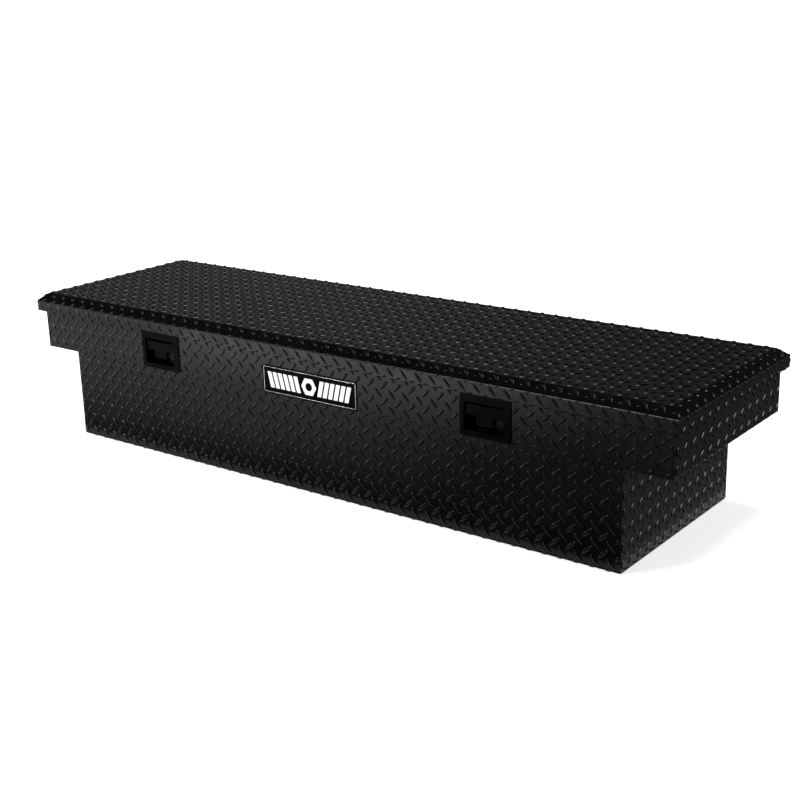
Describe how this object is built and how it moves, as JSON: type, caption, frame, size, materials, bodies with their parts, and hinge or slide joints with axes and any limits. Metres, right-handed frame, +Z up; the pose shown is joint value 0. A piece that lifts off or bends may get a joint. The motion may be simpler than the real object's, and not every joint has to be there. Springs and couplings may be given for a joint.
{
  "type": "truck tool box",
  "caption": "Crossover truck tool box in black tread plate: deep tub with bed-rail wings, one bevelled hinged lid, paddle latches, gas struts.",
  "frame": {"origin": "middle of the tub's underside, which is also the bottom centre of the whole box", "axes": "+X along the box to its right-hand end seen from the latches, +Y towards the hinge, +Z up"},
  "size_m": [1.778, 0.51, 0.355],
  "materials": {
    "tread_black": "gloss black powder coat on aluminium tread plate",
    "liner_aluminium": "satin black powder coat on flat sheet",
    "foam_core": "closed-cell foam",
    "seal_rubber": "matt black",
    "plate_enamel": "gloss black with pale line work",
    "hinge_steel": "black coated steel",
    "latch_black": "satin black coated steel",
    "zinc_steel": "zinc plate",
    "lock_chrome": "dull chrome",
    "strut_black": "satin black",
    "strut_chrome": "hard chrome"
  },
  "bodies": {
    "box": {"tub_shell": "tread_black", "tub_end_left": "tread_black", "tub_end_right": "tread_black", "wing_left": "tread_black", "wing_right": "tread_black", "front_wall": "tread_black", "back_wall": "tread_black", "weather_seal": "seal_rubber", "nameplate": "plate_enamel", "hinge_leaf_box": "hinge_steel", "hinge_pin": "hinge_steel", "hinge_rivets_box": "hinge_steel", "latch_gasket_left": "seal_rubber", "latch_dish_left": "latch_black", "paddle_pin_left": "latch_black", "latch_bracket_left": "zinc_steel", "hook_pin_left": "zinc_steel", "hook_spring_left": "zinc_steel", "latch_nuts_left": "zinc_steel", "lock_body_left": "latch_black", "strut_anchor_box_left": "zinc_steel", "latch_gasket_right": "seal_rubber", "latch_dish_right": "latch_black", "paddle_pin_right": "latch_black", "latch_bracket_right": "zinc_steel", "hook_pin_right": "zinc_steel", "hook_spring_right": "zinc_steel", "latch_nuts_right": "zinc_steel", "lock_body_right": "latch_black", "strut_anchor_box_right": "zinc_steel"},
    "lid": {"lid_skin": "tread_black", "lid_foam": "foam_core", "lid_liner": "liner_aluminium", "hinge_leaf_lid": "hinge_steel", "hinge_rivets_lid": "hinge_steel", "striker_left": "zinc_steel", "striker_right": "zinc_steel", "strut_anchor_lid_left": "zinc_steel", "strut_anchor_lid_right": "zinc_steel"},
    "paddle_left": {"paddle_left": "latch_black"},
    "hook_left": {"latch_hook_left": "zinc_steel"},
    "lock_left": {"lock_plug_left": "lock_chrome", "lock_cam_left": "zinc_steel"},
    "strut_tube_left": {"strut_tube_left": "strut_black"},
    "strut_rod_left": {"strut_rod_left": "strut_chrome"},
    "paddle_right": {"paddle_right": "latch_black"},
    "hook_right": {"latch_hook_right": "zinc_steel"},
    "lock_right": {"lock_plug_right": "lock_chrome", "lock_cam_right": "zinc_steel"},
    "strut_tube_right": {"strut_tube_right": "strut_black"},
    "strut_rod_right": {"strut_rod_right": "strut_chrome"}
  },
  "joints": [
    {"name": "lid_hinge", "type": "hinge", "parent": "box", "child": "lid", "pos_m": [0, 0.2445, 0.307], "axis": [-1, 0, 0], "range_deg": [0, 75]},
    {"name": "paddle_left_pull", "type": "hinge", "parent": "box", "child": "paddle_left", "pos_m": [-0.463, -0.229, 0.281], "axis": [-1, 0, 0], "range_deg": [0, 30], "stiffness_Nm_per_rad": 0.5, "springref_deg": -17.19},
    {"name": "hook_left_release", "type": "hinge", "parent": "box", "child": "hook_left", "pos_m": [-0.469, -0.163, 0.27], "axis": [1, 0, 0], "range_deg": [0, 15]},
    {"name": "lock_left_turn", "type": "hinge", "parent": "box", "child": "lock_left", "pos_m": [-0.432, -0.22, 0.252], "axis": [0, 1, 0], "range_deg": [0, 90]},
    {"name": "strut_tube_left_pivot", "type": "hinge", "parent": "box", "child": "strut_tube_left", "pos_m": [-0.7484, 0.17688, 0.16199], "axis": [-1, 0, 0], "range_deg": [0, 37.5]},
    {"name": "strut_rod_left_pivot", "type": "hinge", "parent": "lid", "child": "strut_rod_left", "pos_m": [-0.7484, 0.08499, 0.31955], "axis": [-1, 0, 0], "range_deg": [-37.5, 0]},
    {"name": "paddle_right_pull", "type": "hinge", "parent": "box", "child": "paddle_right", "pos_m": [0.463, -0.229, 0.281], "axis": [-1, 0, 0], "range_deg": [0, 30], "stiffness_Nm_per_rad": 0.5, "springref_deg": -17.19},
    {"name": "hook_right_release", "type": "hinge", "parent": "box", "child": "hook_right", "pos_m": [0.457, -0.163, 0.27], "axis": [1, 0, 0], "range_deg": [0, 15]},
    {"name": "lock_right_turn", "type": "hinge", "parent": "box", "child": "lock_right", "pos_m": [0.494, -0.22, 0.252], "axis": [0, 1, 0], "range_deg": [0, 90]},
    {"name": "strut_tube_right_pivot", "type": "hinge", "parent": "box", "child": "strut_tube_right", "pos_m": [0.7484, 0.17688, 0.16199], "axis": [-1, 0, 0], "range_deg": [0, 37.5]},
    {"name": "strut_rod_right_pivot", "type": "hinge", "parent": "lid", "child": "strut_rod_right", "pos_m": [0.7484, 0.08499, 0.31955], "axis": [-1, 0, 0], "range_deg": [-37.5, 0]}
  ],
  "couplings": [
    {"joint": "hook_left_release", "follows": "paddle_left_pull", "ratio": 0.5},
    {"joint": "strut_tube_left_pivot", "follows": "lid_hinge", "ratio": 0.5},
    {"joint": "strut_rod_left_pivot", "follows": "lid_hinge", "ratio": -0.5},
    {"joint": "hook_right_release", "follows": "paddle_right_pull", "ratio": 0.5},
    {"joint": "strut_tube_right_pivot", "follows": "lid_hinge", "ratio": 0.5},
    {"joint": "strut_rod_right_pivot", "follows": "lid_hinge", "ratio": -0.5}
  ]
}
